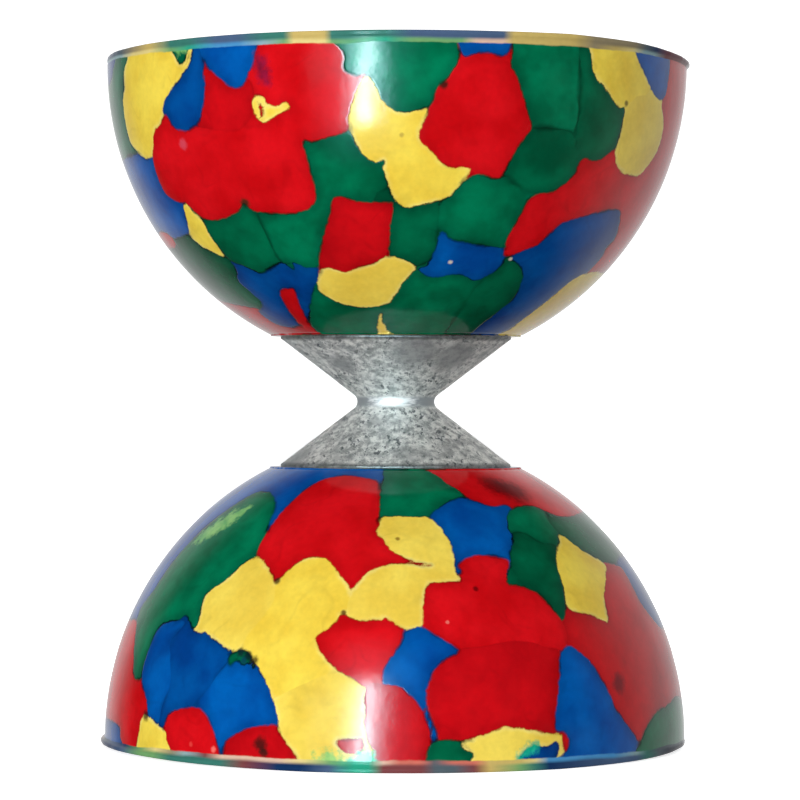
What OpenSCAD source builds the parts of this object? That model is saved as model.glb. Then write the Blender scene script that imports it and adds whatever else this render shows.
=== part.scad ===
// Diabolo: two rubber cups clamped base to base on a one-piece double-cone axle.
// The spin axis is Z and the origin is the middle of the axle's waist, where the string runs.
// Millimetres. The lower half is the upper half turned over.

/* [Overall] */
// Height from mouth to mouth, along the spin axis
overall_h = 123; // [115:1:135]
// Diameter over the moulded lip of a cup's mouth
mouth_d = 104.4; // [98:0.1:112]

/* [Cup] */
// How far the lip flares out past the cup's side
lip_flare = 0.45; // [0.2:0.05:1]
// Height of the flared lip
lip_h = 1.7; // [1.5:0.1:3]
// Height of the lip's upright edge
lip_edge_h = 0.7; // [0.4:0.1:1.2]
// Diameter of the flat base that sits on the axle's flange
base_d = 44; // [42:0.2:50]
// Width of the thin skirt of moulding flash round the base
flash_w = 0.4; // [0.2:0.1:0.8]
// Thickness of that flash
flash_t = 0.35; // [0.2:0.05:0.6]
// Wall thickness at the mouth
wall_t = 3.6; // [3:0.1:5]
// Thickness of the base under the clamp washer
base_t = 5; // [5:0.1:7]
// Depth of the seat that the clamp washer lies in
seat_depth = 0.8; // [0.4:0.1:1.2]
// Diameter of the cup's floor inside, where the wall begins
floor_d = 39.8; // [38:0.2:42]
// Radius on the mouth's inner edge
mouth_round = 0.9; // [0.4:0.1:1.2]

/* [Axle] */
// Distance between the two flange faces
flange_gap = 23.3; // [22:0.1:27]
// Diameter of each flange, at the wide end of its cone
flange_d = 41.2; // [38:0.2:42]
// Height of the upright land round each flange
land_h = 0.4; // [0.2:0.1:0.8]
// Diameter of the waist
waist_d = 13.8; // [12:0.2:15]
// Radius of the groove at the waist, which the string runs in
groove_r = 1.5; // [1:0.1:3]
// Diameter of the spigot that centres each cup
spigot_d = 16; // [14:0.5:18]
// Length of the spigot
spigot_h = 4.6; // [3.5:0.1:4.8]
// Room left under the bolt's end in its tapped hole
tapped_room = 0.5; // [0.3:0.1:1]

/* [Fasteners] */
// Outside diameter of the clamp washer
washer_d = 30; // [24:0.5:31]
// Thickness of the clamp washer
washer_t = 2; // [1.5:0.1:2.5]
// Outside diameter of the spring washer
spring_d = 14.8; // [14:0.1:15]
// Thickness of the spring washer
spring_t = 2; // [1.6:0.1:2.2]
// Width of the cut through the spring washer
spring_cut = 1.2; // [0.6:0.1:2]
// Length of the bolt under its head
bolt_l = 16; // [15:0.5:16]
// Width of the bolt's head across its flats
head_af = 13; // [12:0.5:14]
// Height of the bolt's head
head_h = 5.3; // [5:0.1:6]

/* [Hidden] */
$fn = 160;

// Size of the M8 coarse thread
thread_d = 8;
thread_pitch = 1.25;
thread_depth = 0.7;
thread_crest = thread_pitch / 8;
thread_root = thread_pitch / 4;
thread_play = 0.05;
thread_half = (thread_pitch - thread_root) / 2;
thread_runout = 1;
// Radial room round the spigot, and round the bolt in its washers
spigot_play = 0.1;
washer_play = 0.2;
seat_play = 0.6;
// Small edge breaks
edge_break = 0.5;
washer_break = 0.25;
// The round face under the bolt's head, and the angle of its corner chamfer
collar_d = 11.6;
collar_t = 0.4;
head_chamfer = 30;
// Height of the drill's cone at the bottom of a tapped hole
drill_tip = 2;
// Steps at both ends of the lip's hollow curve, so that no two curves meet in one point
lip_step = 0.05;
// The groove's circle cuts this far into the corner where it meets a cone
groove_bite = 0.005;
// The spring washer's cut leans by this angle
cut_lean = 20;
// The fasteners of the two ends don't line up
upper_turn = 12;
lower_turn = 41;
eps = 0.01;

rim_z = overall_h / 2;
base_z = flange_gap / 2;
seat_z = base_z + base_t;
floor_z = seat_z + seat_depth;
spring_z = seat_z + washer_t;
head_z = spring_z + spring_t;
bolt_end_z = head_z - bolt_l;
spigot_z = base_z + spigot_h;
tapped_z = bolt_end_z - tapped_room;
// Middle of the lowest thread ring: the bolt's rings and the tapped hole's are level
first_thread_z = bolt_end_z + 1.1;
bolt_turns = turns_up_to(head_z - thread_runout);
tapped_turns = turns_up_to(spigot_z - thread_depth);

side_r = mouth_d / 2 - lip_flare;
base_r = base_d / 2;
bowl_r = side_r - wall_t;
floor_r = floor_d / 2;
lip_foot_z = rim_z - lip_h;
// The side stands upright just inside the lip's foot
side_x = side_r - lip_step;
side_arc_r = arc_radius(side_x - base_r, lip_foot_z - base_z);
bowl_arc_r = arc_radius(bowl_r - floor_r, rim_z - floor_z);

// Radius of an arc that starts along the axis and moves `run` sideways over a length `rise`
function arc_radius(run, rise) = (run * run + rise * rise) / (2 * run);

// How many thread rings fit below a height
function turns_up_to(top_z) = floor((top_z - first_thread_z - thread_half) / thread_pitch) + 1;

// One side of a thread, from low to high: level rings stand in for the helix
function thread_points(major_r, turns) = [
    for (turn = [0 : turns - 1])
        let (mid = first_thread_z + turn * thread_pitch, minor_r = major_r - thread_depth)
            each [
                [minor_r, mid - thread_half],
                [major_r, mid - thread_crest / 2],
                [major_r, mid + thread_crest / 2],
                [minor_r, mid + thread_half],
            ]
];

// A piece of the lower end: the upper end's piece turned over
module turned_over() {
    rotate([180, 0, 0]) children();
}

// The lower half of a disc, and a bit above it, to the right of the axis
module half_disc(middle, r, above = 0) {
    intersection() {
        translate(middle) circle(r, $fn = 360);
        translate([0, middle[1] - r]) square([2 * r, r + above]);
    }
}

// The lip flares out in a hollow curve and ends in an upright edge
module lip_section() {
    curve_h = lip_h - lip_edge_h;
    curve_r = arc_radius(lip_flare - lip_step, curve_h);
    difference() {
        translate([bowl_r - 1, lip_foot_z]) square([1 + wall_t + lip_flare, lip_h]);
        difference() {
            translate([side_r + curve_r, lip_foot_z]) circle(curve_r);
            translate([side_r, rim_z - lip_edge_h]) square([2 * curve_r, curve_r]);
        }
    }
}

module mouth_edge_section() {
    difference() {
        translate([bowl_r - eps, rim_z - mouth_round]) square([mouth_round + eps, mouth_round + eps]);
        translate([bowl_r + mouth_round, rim_z - mouth_round]) circle(mouth_round);
    }
}

module cup_section() {
    difference() {
        union() {
            difference() {
                half_disc([side_x - side_arc_r, lip_foot_z], side_arc_r, lip_h / 2);
                square([side_arc_r, base_z]);
            }
            translate([base_r - 1, base_z]) square([1 + flash_w, flash_t]);
            lip_section();
        }
        difference() {
            half_disc([bowl_r - bowl_arc_r, rim_z + eps], bowl_arc_r);
            square([bowl_arc_r, floor_z]);
        }
        translate([0, seat_z]) square([washer_d / 2 + seat_play, 2 * seat_depth]);
        translate([0, base_z - eps]) square([spigot_d / 2 + spigot_play, base_t + 1]);
        mouth_edge_section();
    }
}

module cup() {
    color("crimson") rotate_extrude() cup_section();
}

// The V of the two cones, its round groove and the spigots, without the holes
module axle_outline() {
    groove_x = waist_d / 2 + groove_r;
    cone_z = base_z - land_h;
    // Each cone runs from its flange's land down to where it touches the groove's circle
    reach = [groove_x - flange_d / 2, cone_z];
    touch_r = groove_r - groove_bite;
    lean = asin(touch_r / norm(reach)) + atan2(-reach[0], reach[1]);
    touch = [groove_x - touch_r * cos(lean), touch_r * sin(lean)];
    upper = [
        [spigot_d / 2 - edge_break, spigot_z],
        [spigot_d / 2, spigot_z - edge_break],
        [spigot_d / 2, base_z],
        [flange_d / 2, base_z],
        [flange_d / 2, cone_z],
        touch,
    ];
    difference() {
        polygon([
            [0, spigot_z],
            each upper,
            each [for (i = [len(upper) - 1 : -1 : 0]) [upper[i][0], -upper[i][1]]],
            [0, -spigot_z],
        ]);
        translate([groove_x, 0]) circle(groove_r);
    }
}

module tapped_hole_section() {
    major_r = thread_d / 2 + thread_play;
    minor_r = major_r - thread_depth;
    polygon([
        [0, tapped_z - drill_tip],
        [minor_r, tapped_z],
        each thread_points(major_r, tapped_turns),
        [minor_r, spigot_z - thread_depth],
        [major_r, spigot_z],
        [major_r, spigot_z + 1],
        [0, spigot_z + 1],
    ]);
}

module axle() {
    color("silver") rotate_extrude() difference() {
        axle_outline();
        tapped_hole_section();
        mirror([0, 1]) tapped_hole_section();
    }
}

module clamp_washer() {
    r = washer_d / 2;
    hole_r = thread_d / 2 + washer_play;
    color("gainsboro") rotate_extrude() polygon([
        [hole_r, seat_z],
        [r - washer_break, seat_z],
        [r, seat_z + washer_break],
        [r, spring_z - washer_break],
        [r - washer_break, spring_z],
        [hole_r, spring_z],
    ]);
}

module spring_washer() {
    r = spring_d / 2;
    hole_r = thread_d / 2 + washer_play;
    color("darkgray") difference() {
        rotate_extrude() polygon([
            [hole_r, spring_z],
            [r - washer_break, spring_z],
            [r, spring_z + washer_break],
            [r, head_z - washer_break],
            [r - washer_break, head_z],
            [hole_r, head_z],
        ]);
        translate([0, 0, spring_z + spring_t / 2]) rotate([cut_lean, 0, 0])
            translate([0, -spring_cut / 2, -2 * spring_t]) cube([r + 1, spring_cut, 4 * spring_t]);
    }
}

// The hexagon with its corners turned off at the top, standing on a thin round collar
module bolt_head() {
    corner_r = head_af / 2 / cos(30);
    chamfer_h = (corner_r - head_af / 2 + edge_break) * tan(head_chamfer);
    intersection() {
        translate([0, 0, head_z + collar_t]) cylinder(r = corner_r, h = head_h - collar_t, $fn = 6);
        rotate_extrude() polygon([
            [0, head_z],
            [corner_r + 1, head_z],
            [corner_r + 1, head_z + head_h - chamfer_h - tan(head_chamfer)],
            [head_af / 2 - edge_break, head_z + head_h],
            [0, head_z + head_h],
        ]);
    }
    translate([0, 0, head_z]) cylinder(d = collar_d, h = collar_t);
}

module bolt_shank() {
    major_r = thread_d / 2 - thread_play;
    minor_r = major_r - thread_depth;
    rotate_extrude() polygon([
        [0, bolt_end_z],
        [minor_r - edge_break, bolt_end_z],
        [minor_r, bolt_end_z + edge_break],
        each thread_points(major_r, bolt_turns),
        [minor_r, head_z + collar_t],
        [0, head_z + collar_t],
    ]);
}

module bolt() {
    color("lightgray") union() {
        bolt_head();
        bolt_shank();
    }
}

axle();
cup();  // upper_cup
clamp_washer();  // upper_clamp_washer
rotate([0, 0, upper_turn]) spring_washer();  // upper_spring_washer
rotate([0, 0, upper_turn]) bolt();  // upper_bolt
turned_over() cup();  // lower_cup
turned_over() clamp_washer();  // lower_clamp_washer
turned_over() rotate([0, 0, lower_turn]) spring_washer();  // lower_spring_washer
turned_over() rotate([0, 0, lower_turn]) bolt();  // lower_bolt
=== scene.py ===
"""Looks for a marbled rubber diabolo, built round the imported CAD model.

Blender works in metres; the sizes below are in millimetres, as on a drawing, and are scaled by MM.
The spin axis is Z and the waist is at the origin. Azimuth 0 faces the camera (-Y) and grows towards +X.
"""

import math
import random

import bpy
import numpy as np
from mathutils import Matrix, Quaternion, Vector


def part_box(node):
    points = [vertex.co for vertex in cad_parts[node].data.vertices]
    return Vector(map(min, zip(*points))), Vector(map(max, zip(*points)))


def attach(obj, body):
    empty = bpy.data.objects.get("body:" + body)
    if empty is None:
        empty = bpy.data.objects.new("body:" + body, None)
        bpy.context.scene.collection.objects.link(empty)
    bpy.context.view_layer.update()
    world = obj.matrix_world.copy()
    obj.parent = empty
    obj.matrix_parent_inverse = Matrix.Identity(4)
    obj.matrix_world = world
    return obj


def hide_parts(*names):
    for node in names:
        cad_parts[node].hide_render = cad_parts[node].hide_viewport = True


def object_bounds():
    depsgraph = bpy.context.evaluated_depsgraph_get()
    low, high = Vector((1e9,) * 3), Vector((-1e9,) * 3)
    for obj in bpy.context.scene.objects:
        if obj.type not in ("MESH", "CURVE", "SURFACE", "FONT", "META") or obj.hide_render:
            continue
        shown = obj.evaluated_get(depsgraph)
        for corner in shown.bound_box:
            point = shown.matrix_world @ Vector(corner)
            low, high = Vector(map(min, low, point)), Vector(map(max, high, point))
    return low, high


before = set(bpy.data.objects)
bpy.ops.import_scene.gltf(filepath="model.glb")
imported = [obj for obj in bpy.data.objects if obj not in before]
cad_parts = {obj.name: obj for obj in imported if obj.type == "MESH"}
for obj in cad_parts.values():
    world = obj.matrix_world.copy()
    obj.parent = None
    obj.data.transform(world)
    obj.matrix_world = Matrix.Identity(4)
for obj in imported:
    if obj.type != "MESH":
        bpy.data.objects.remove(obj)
cad_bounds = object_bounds()

MM = 0.001

# ---------------------------------------------------------------------------------------------
# Sizes, in mm: what the CAD model gives, then what only the looks need
# ---------------------------------------------------------------------------------------------
CUP_LOW, CUP_HIGH = (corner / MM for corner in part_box("upper_cup"))
AXLE_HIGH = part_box("axle")[1] / MM
WASHER_LOW, WASHER_HIGH = (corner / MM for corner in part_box("upper_clamp_washer"))

RIM_Z = CUP_HIGH.z
BASE_Z = CUP_LOW.z
MOUTH_R = CUP_HIGH.x
LIP_FLARE = 0.45
LIP_H = 1.7
LIP_EDGE_H = 0.7
FOOT_Z = RIM_Z - LIP_H
SIDE_R = MOUTH_R - LIP_FLARE
BASE_R = 22
FLASH_W = 0.4
FLASH_T = 0.35
WALL_T = 3.6
BOWL_R = SIDE_R - WALL_T
FLOOR_R = 19.9
SEAT_Z = WASHER_LOW.z
SEAT_DEPTH = 0.8
SEAT_R = WASHER_HIGH.x + 0.6
FLOOR_Z = SEAT_Z + SEAT_DEPTH
MOUTH_ROUND = 0.9
SPIGOT_R = 8
CUP_COLUMNS = 540

FLANGE_R = AXLE_HIGH.x
SPIGOT_Z = AXLE_HIGH.z
LAND_H = 0.4
WAIST_R = 6.9
GROOVE_R = 1.5
AXLE_COLUMNS = 480

# ---------------------------------------------------------------------------------------------
# The marbling of the cups
# ---------------------------------------------------------------------------------------------
# Families of colours, and how each behaves where it meets another: (names, how dark its seams are, how
# much it darkens towards them, how pale a fringe it has, how ragged and how blurred its edge is in mm)
FAMILIES = (
    (("red", "red2"), 0.6, 0.3, 0.0, 0.9, 0.4),
    (("green", "green2"), 1.0, 0.5, 0.0, 0.9, 0.4),
    (("blue", "blue2"), 0.85, 0.4, 0.0, 0.9, 0.45),
    (("yellow", "yellow2"), 0.24, 0.0, 0.34, 1.3, 0.34),
)
# Smudges that lie over the lumps: (name, how ragged and how blurred its edge is in mm, how well it covers)
SMUDGES = (
    ("dark", 1.8, 0.9, 0.75),
    ("lime", 3.4, 1.0, 0.9),
    ("teal", 2.0, 0.7, 0.9),
)
FAMILY_CLASSES = [name for family in FAMILIES for name in family[0]]
CLASSES = FAMILY_CLASSES + [smudge[0] for smudge in SMUDGES]

# The lumps of coloured rubber that show on the front of each cup, from the bottom layer up. A lump
# is (colour, outline): the outline's points are (azimuth in degrees, height above the waist in mm),
# azimuth 0 faces the camera and grows to the right, and a smooth curve runs through the points.
# Colours that end in 2 are the same colour in a lump of its own, with a fainter seam between the two.
UPPER_LUMPS = [
    ("green", [(-69, 62), (-69, 57), (-64, 51), (-64, 42), (-99, 42), (-104, 50), (-97, 60)]),
    ("blue2", [(-73, 62.5), (-74, 58.5), (-80, 56), (-98, 57), (-98, 62.5)]),
    ("blue", [(-76, 42.8), (-66, 43.2), (-60, 44), (-52, 36), (-52, 28), (-58.6, 28.7), (-63.5, 28.5),
        (-82, 29.5), (-96, 30), (-103, 36), (-98, 42)]),
    ("green2", [(-72, 28), (-58.6, 28.9), (-52, 27), (-46, 23), (-46, 18), (-54, 16), (-66, 17),
        (-96, 19), (-102, 24), (-94, 27.5)]),
    ("red", [(-82, 29.8), (-72, 29.4), (-71, 27.4), (-80, 27), (-93, 28)]),
    ("green", [(-42, 10), (-36, 16), (-22, 24), (6, 24), (30, 25), (36, 20), (36, 10)]),
    ("green2", [(30, 25), (36, 24), (42, 18), (40, 10), (24, 10), (22.6, 17), (26, 22.4)]),
    ("red2", [(-96, 18.5), (-66, 16.8), (-54, 16), (-44, 14), (-37.5, 10), (-100, 10), (-104, 14)]),
    ("blue2", [(-46, 26), (-24, 26), (-20.8, 22.6), (-26.3, 18.4), (-34, 14.5), (-41, 13.3), (-49, 12.9),
        (-56, 13.6), (-57, 15.5), (-50, 16.8), (-50, 18.9), (-51.5, 20.8), (-48.5, 22.6)]),
    ("red", [(-37.3, 18.9), (-33.4, 19.4), (-31.7, 19), (-33.4, 16.8), (-36.5, 12.9), (-37.5, 10),
        (-41, 10), (-42, 12.6), (-39.4, 16.8)]),
    ("green2", [(-51, 34), (-36, 36), (-28, 34), (-28, 23), (-31, 23.7), (-35.5, 22.8), (-40, 22),
        (-43.5, 23), (-47.8, 24.2), (-52, 27)]),
    ("green", [(-31, 36), (-14, 46), (-4, 46), (2, 38), (-4, 28), (-17, 20.5), (-20.4, 22.6),
        (-24.5, 22.8), (-27.5, 23.6), (-31, 23.8), (-31.7, 27)]),
    ("red", [(-27, 62.5), (-6, 62.5), (-4, 50), (-9.3, 45.2), (-13.5, 44), (-16.5, 43.3), (-18.5, 43.5),
        (-18.2, 41.3), (-17.2, 36.3), (-17.3, 34.3), (-18.8, 32.7), (-21.6, 31.9), (-25.2, 31.6),
        (-33, 32.2), (-34.9, 33.5), (-36.7, 32.6), (-39.9, 31.6), (-44.8, 31), (-48.8, 31.3),
        (-51.4, 32.5), (-53.4, 34), (-56.5, 34.4), (-59.5, 35.6), (-60.4, 37.4), (-60, 41.2), (-57, 46),
        (-45, 52), (-38, 60)]),
    ("red2", [(-39, 54.6), (-36, 56), (-29, 54), (-27.8, 51), (-29, 47.5), (-33, 45.6), (-42.4, 46.6),
        (-40.6, 49.6)]),
    ("dark", [(-27.6, 57.8), (-25.8, 57.8), (-24.6, 56), (-24.2, 53.8), (-25.2, 52.8), (-26.8, 54.2)]),
    ("yellow", [(-54, 34), (-51.8, 32.3), (-50, 30.6), (-50.1, 28.5), (-49.4, 25), (-53, 25.7),
        (-56.7, 27), (-58.8, 28.7), (-56.9, 30.2)]),
    ("blue2", [(-44, 62.5), (-38, 62.5), (-39.2, 55.3), (-38.9, 53.3), (-40, 49.8), (-41.8, 47.3),
        (-44.7, 46), (-47.3, 46), (-49.6, 47), (-51, 49), (-54, 52), (-48, 58)]),
    ("blue", [(-39.5, 62.5), (-27.2, 62.5), (-27.5, 57), (-28.8, 54.8), (-30, 53), (-31.5, 52.4),
        (-33.5, 53), (-36, 54.7), (-38, 56.3), (-39.6, 58.5)]),
    ("yellow", [(-61, 62.5), (-41.8, 62.5), (-42, 60), (-42.5, 57.5), (-45, 55.2), (-50.5, 51.5),
        (-51.8, 49.4), (-53.2, 47.6), (-56.5, 46.3), (-58, 44), (-60.2, 42.2), (-63.5, 42.1), (-67, 43.6),
        (-69.4, 46), (-68.8, 52), (-66.4, 54.8), (-62.8, 57.2), (-61.2, 59.6)]),
    ("green", [(-48.6, 62), (-42.4, 62), (-43, 59.4), (-44, 57.8), (-45.2, 57.2), (-46.8, 58.6)]),
    ("lime", [(-48, 62), (-43, 62), (-43.4, 60), (-45, 59.2), (-46.8, 59.8)]),
    ("green", [(-13, 62.5), (14, 62.5), (14, 54), (6, 44), (-4, 48), (-5.6, 54), (-7.5, 54), (-9.8, 55),
        (-9.9, 58)]),
    ("yellow", [(-27.3, 51.1), (-25.8, 50.7), (-25, 49.6), (-23, 49.3), (-21.3, 49.9), (-20.5, 49),
        (-22.3, 48.2), (-24.8, 47.2), (-26.3, 46.7), (-27.6, 47.3), (-28.4, 48.6), (-28.3, 50.2)]),
    ("red", [(-27.2, 50), (-26.2, 49.3), (-26.1, 48), (-26.7, 47.6), (-26.9, 48.6)]),
    ("green2", [(-4, 35), (11, 35), (11, 26), (5.6, 23), (-4, 23)]),
    ("green", [(9.9, 35), (16, 41), (30, 37), (31, 27), (12, 26), (10, 28.6), (9.6, 31)]),
    ("green", [(18, 62.5), (39, 62.5), (39, 44), (24, 44), (18, 58)]),
    ("green2", [(36.6, 62.5), (42, 62.5), (42, 56), (52, 50), (52, 40), (40, 38), (38.4, 42.6),
        (37.2, 45.5), (37.4, 48.5), (37, 52)]),
    ("green2", [(26, 45.6), (33, 46), (37, 45.4), (38.8, 43), (41, 40), (38, 35), (29, 35.4),
        (26.5, 36.3), (24, 37.4), (20, 40)]),
    ("red", [(12, 60), (21.2, 60), (21.6, 56), (23, 54.2), (25.5, 48.8), (26.9, 46), (25.4, 43.9),
        (23.4, 40.6), (22.6, 38.8), (21.2, 37.4), (16.6, 38.1), (12, 37), (3, 42), (3, 46), (6.3, 49),
        (7.7, 52.2), (9.5, 53.6), (11.6, 57)]),
    ("blue", [(12, 62), (21.6, 62), (21.1, 58), (19, 57.6), (16.2, 57.9), (14, 57.5), (12, 57.6)]),
    ("yellow", [(-5.6, 54), (-7, 52.4), (-8.9, 48), (-9, 45.5), (-7.4, 42), (-5.8, 40.6), (-4.1, 39.9),
        (-2.5, 40.2), (-2.5, 38.5), (-1, 35), (0.3, 33.4), (2.3, 32.6), (6.4, 33.2), (10.4, 34),
        (12.1, 35.1), (15.2, 38.9), (10.2, 39.3), (6.3, 42.2), (4.6, 43.4), (4.5, 45.2), (5.9, 48.6),
        (1.4, 47.9), (-0.6, 48.5), (-2.4, 49.8), (-4.7, 53.4)]),
    ("red2", [(-13.4, 34.1), (-12, 34.3), (-7.2, 33.5), (-2, 33.3), (-0.7, 32.8), (-1.4, 29.6),
        (-1.8, 25.7), (-2.5, 22), (-20, 20), (-20.4, 23.4), (-18.9, 25.7), (-15.3, 30.7), (-14.2, 33)]),
    ("yellow2", [(-18.3, 22.7), (-20.7, 22.2), (-23.5, 19.6), (-22.7, 18.4), (-18.2, 16.8), (-10.3, 16.1),
        (-2.9, 16.8), (-0.9, 17.6), (2.2, 20.4), (5.1, 22.8), (2, 24), (-2.3, 24.6), (-5.2, 23.6),
        (-11, 22.5), (-13.7, 22)]),
    ("yellow", [(-5.2, 15.2), (-4.9, 13.6), (-3.4, 12.4), (-1, 11), (-4, 10.4), (-7.5, 11.2),
        (-7.4, 13)]),
    ("blue", [(6.2, 22.4), (8.2, 23.2), (9.6, 25.7), (10.1, 28.2), (11.3, 28.6), (13.4, 27.4), (22, 26.4),
        (27.4, 26.1), (29, 24.8), (27.2, 22.2), (22.7, 20.8), (17.3, 21.7), (9.8, 21.2)]),
    ("red", [(29, 24.8), (27.7, 26.3), (27.3, 28), (28.8, 32), (29.8, 34.4), (32.4, 35.3), (35.3, 35.7),
        (39.4, 38.3), (40.2, 40.6), (41.4, 41.4), (43.8, 41), (46.5, 41.6), (49.5, 43.3), (58, 46),
        (60, 62.5), (96, 62.5), (104, 55), (98, 44), (106, 34), (97, 25), (76, 20), (60, 20), (60, 28),
        (40, 26)]),
    ("blue2", [(30.2, 24.6), (33.3, 25.9), (36.7, 27), (39.8, 29.8), (42.4, 30.9), (50.3, 32.5),
        (57, 33.3), (61, 32.7), (65.8, 28.8), (64.8, 27), (66, 25.1), (64, 20), (58, 10), (36.3, 10),
        (38.3, 16), (40, 17.8), (37.5, 21.5), (34, 23.4)]),
    ("yellow", [(65, 22.6), (60.4, 21.6), (58, 19.6), (57, 17.2), (55.4, 14.8), (56, 13), (54.4, 10),
        (98, 10), (102, 16), (95, 22), (77, 23)]),
    ("yellow2", [(44, 62.5), (44, 54), (49.6, 50.4), (49.9, 45.8), (49.6, 43), (50.9, 41.2), (53.4, 39.8),
        (57.2, 39.2), (61.7, 39.4), (66.4, 43), (67.4, 46), (66.8, 48.5), (64.5, 51), (62, 56),
        (56, 62.5)]),
    ("yellow", [(39.6, 62.5), (39.4, 58), (40.5, 55.1), (43, 53.5), (47, 50.8), (49.6, 50.4),
        (53.5, 52.4), (58, 54), (56, 62.5)]),
    ("blue", [(51.6, 62.5), (52.1, 59.6), (54.7, 57), (59, 53.7), (62.4, 52.5), (65, 53.2), (66, 56.5),
        (65.4, 62.5)]),
]
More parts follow.
